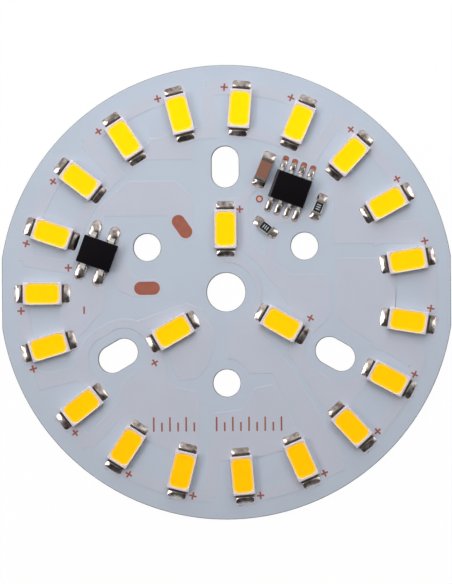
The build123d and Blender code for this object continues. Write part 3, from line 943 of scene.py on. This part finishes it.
def end_caps(name, node, spots, length, width, height, cap, tin):
    """Tin-plated caps, one at each end of each block."""
    parts = []
    for spot in spots:
        for end in both_ends:
            part = block(f"{name}_part", (cap, width, height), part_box(node)[0].z, cap_corner, 3, 0)
            bevel(is_sharp, cap_round, 3)
            smooth_below(50)
            part.data.transform(spot @ end @ Matrix.Translation(((length - cap) / 2, 0, 0)))
            parts.append(part)
    whole = merged(parts, name)
    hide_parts(node)
    dress(whole, tin)


end_caps("capacitor_end_caps", "capacitor_terminations", [capacitor_place],
         length=3.2 * mm, width=1.6 * mm, height=1.25 * mm, cap=0.5 * mm, tin=darker_tin)
end_caps("resistor_end_caps", "resistor_terminations", resistor_spots,
         length=2.0 * mm, width=1.25 * mm, height=0.5 * mm, cap=0.31 * mm, tin=plain_tin)

# Signs: polarity crosses and a bar etched in the copper and left free of ink, with a ring at the driver's
# first lead. Where the board carries print, a plain scale of ticks stands instead.
sign_rise = 0.006 * mm
sign_depth = sign_rise + 0.04 * mm
bar_width = 0.23 * mm
cross_size = 0.98 * mm
bare_copper = grained("dulled_copper", "#A9604F", roughness=0.5, metallic=0.4, grain=0.4 * mm, detail=3.0,
                      tones=("#934B41", "#AF6658"))


def bar(size_x, size_y, depth, top):
    """A flat bar that reaches down from its top."""
    bpy.ops.mesh.primitive_cube_add(size=1, location=(0, 0, top - depth / 2))
    made = bpy.context.object
    made.scale = (size_x, size_y, depth)
    settle(made)
    return made


def tick(size_x, size_y, place, base=mask_high.z, depth=sign_depth):
    """A thin flat bar with slightly rounded ends, lying on the ink or on another face."""
    made = bar(size_x, size_y, depth, base + sign_rise)
    bevel(lambda edge: is_upright(edge, sign_rise / 2), 0.25 * min(size_x, size_y), 3)
    made.data.transform(place)
    return made


def cross(place):
    """A plus sign in one piece: a square middle with four arms drawn out of its sides."""
    made = bar(bar_width, bar_width, sign_depth, mask_high.z + sign_rise)
    arm = (cross_size - bar_width) / 2
    bpy.ops.object.mode_set(mode="EDIT")
    for x, y in ((1, 0), (-1, 0), (0, 1), (0, -1)):
        pick("faces", lambda face: face.normal.x * x + face.normal.y * y > 0.9
             and face.calc_center_median().xy.length < 0.6 * bar_width)
        bpy.ops.mesh.extrude_region_move(TRANSFORM_OT_translate={"value": (x * arm, y * arm, 0)})
    bpy.ops.object.mode_set(mode="OBJECT")
    made.data.transform(place)
    return made


sign_shift = Matrix.Translation((-0.08 * mm, -0.08 * mm, 0))
beside_led = Matrix.Translation((2.76 * mm, 2.18 * mm, 0))
inner_crosses = ((1.88, 10.93, 90), (11.11, -3.52, 330), (-9.52, -9.25, 210))
rectifier_plus = turned(-20.83 * mm, 3.39 * mm, 0)
rectifier_minus = turned(-18.79 * mm, -2.22 * mm, 0)
parts = []
for spot in led_places[:ring_count]:
    parts.append(cross(sign_shift @ flat_place(spot) @ beside_led))
for x, y, turn in inner_crosses:
    parts.append(cross(turned(x * mm, y * mm, turn)))
parts.append(cross(rectifier_plus))
parts.append(tick(bar_width, cross_size, rectifier_minus))
dress(merged(parts, "polarity_signs"), bare_copper)

tick_step = 1.07 * mm
tick_width = 0.22 * mm
tick_foot = -18.35 * mm
long_tick = 1.9 * mm
short_tick = 1.2 * mm
parts = []
for start, count in ((-9.7 * mm, 6), (-1.4 * mm, 9)):
    for number in range(count):
        height = short_tick if number % 2 else long_tick
        spot = turned(start + number * tick_step, tick_foot + height / 2, 0)
        parts.append(tick(tick_width, height, spot))
dress(merged(parts, "tick_scale"), bare_copper)

# Values on the resistors stand here as three plain pale bars, printed on the glass coat.
pale_print = grained("pale_glass_print", "#B9B9BC", roughness=0.6, grain=0.1 * mm, detail=2.0,
                     tones=("#8F8F94", "#D0D0D2"))
print_bar_width = 0.12 * mm
print_bar_length = 0.56 * mm
parts = []
for spot in resistor_spots:
    for step in (-0.3 * mm, 0, 0.3 * mm):
        parts.append(tick(print_bar_width, print_bar_length, spot @ Matrix.Translation((step, 0, 0)),
                          base=coat_high.z, depth=sign_rise))
dress(merged(parts, "resistor_bars"), pale_print)

# Ring and dot beside the driver: a ring of bare copper round a dot that took a little tin.
ring_place = Vector((4.5 * mm, 12.26 * mm, mask_high.z))
ring_flatness = 0.15
bpy.ops.mesh.primitive_torus_add(major_radius=0.37 * mm, minor_radius=0.1 * mm, major_segments=48,
                                 minor_segments=8, location=ring_place)
ring = bpy.context.object
ring.scale.z = ring_flatness
settle(ring)
bpy.ops.object.shade_smooth()
ring.name = "first_lead_ring"
dress(ring, bare_copper)
tinned_copper = grained("tinned_copper", "#DDB3AA", roughness=0.45, metallic=0.3, grain=0.2 * mm, detail=2.0,
                        tones=("#D3A39A", "#E6C1B8"))
bpy.ops.mesh.primitive_cylinder_add(vertices=small_round, radius=0.29 * mm, depth=0.03 * mm,
                                    location=ring_place - Vector((0, 0, 0.01 * mm)))
dot = bpy.context.object
settle(dot)
dot.name = "first_lead_dot"
dress(dot, tinned_copper)

# Table and light: a white table that stays white to the camera but keeps the shadow, a strong soft lamp
# on the left, a weaker one on the right, one beyond the top edge, and a dark ceiling, seen only in
# reflections, that glows faintly and more towards the board's upper side: a painted reflection in the metal.
shown_share = 0.98
table_size = 3
table_drop = 0.01 * mm
ceiling_size = 2.4
ceiling_height = 0.9


def seen_rays(made):
    """1 for what the camera sees, straight, in a reflection or through something clear, else 0."""
    rays = add(made, "LightPath", {})
    seen = add(made, "Math", {0: rays["Is Camera Ray"], 1: rays["Is Glossy Ray"]}, operation="MAXIMUM")[0]
    return add(made, "Math", {0: seen, 1: rays["Is Transmission Ray"]}, operation="MAXIMUM")[0]


bpy.ops.mesh.primitive_plane_add(size=table_size, location=(0, 0, -table_drop))
table = bpy.context.object
table.name = "white_table"
paper, shader = material("white_paper", "#F4F4F4", 0.9)
share = add(paper, "Math", {0: seen_rays(paper), 1: shown_share}, operation="MULTIPLY")[0]
glow = add(paper, "Emission", {"Color": (1, 1, 1, 1), "Strength": 1.0})["Emission"]
mixed = add(paper, "MixShader", {0: share, 1: shader.outputs["BSDF"], 2: glow})["Shader"]
paper.node_tree.links.new(mixed, paper.node_tree.nodes["Material Output"].inputs["Surface"])
table.data.materials.append(paper)

world = bpy.data.worlds.new("studio")
scene.world = world
world.use_nodes = True
sky = world.node_tree.nodes["Background"]
strength = add(world, "MapRange", {"Value": seen_rays(world), "To Min": 0.08, "To Max": 1.0})["Result"]
world.node_tree.links.new(strength, sky.inputs["Strength"])
sky.inputs["Color"].default_value = (1, 1, 1, 1)

bpy.ops.mesh.primitive_plane_add(size=ceiling_size, location=(0, 0, ceiling_height))
ceiling = bpy.context.object
ceiling.name = "glowing_reflection_ceiling"
# Painted reflection: the ceiling is seen only in reflections and glows, brighter towards the board's upper
# side.
painted_reflection_glow, shader = material("painted_reflection_glow", "#1C1A19", 0.9)
place = add(painted_reflection_glow, "TexCoord", {})["Object"]
beyond = add(painted_reflection_glow, "SeparateXYZ", {"Vector": place})["Y"]
strength = add(painted_reflection_glow, "MapRange", {"Value": beyond, "From Min": -0.25, "From Max": 0.35, "To Min": 0.1,
                                        "To Max": 0.9}, interpolation_type="SMOOTHSTEP")["Result"]
join(painted_reflection_glow, strength, shader, "Emission Strength")
shader.inputs["Emission Color"].default_value = (1, 0.97, 0.94, 1)
ceiling.data.materials.append(painted_reflection_glow)
ceiling.visible_camera = False
ceiling.visible_diffuse = False
ceiling.visible_shadow = False


def lamp(name, place, length, height, power):
    """A soft box aimed at the board, with its length level."""
    bpy.ops.object.light_add(type="AREA", location=place)
    made = bpy.context.object
    made.name = name
    made.data.shape = "RECTANGLE"
    made.data.size = length
    made.data.size_y = height
    made.data.energy = power
    made.rotation_euler = (-Vector(place)).to_track_quat("-Z", "Y").to_euler()
    return made


lamp("left_lamp", (-0.31, 0.0, 0.3), length=0.3, height=0.14, power=0.62)
lamp("right_lamp", (0.3, 0.08, 0.27), length=0.3, height=0.09, power=0.22)
top_lamp = lamp("top_lamp", (0.0, 0.15, 0.13), length=0.24, height=0.24, power=0.49)
top_lamp.data.color = (0.84, 0.92, 1.0)
top_lamp.visible_glossy = False
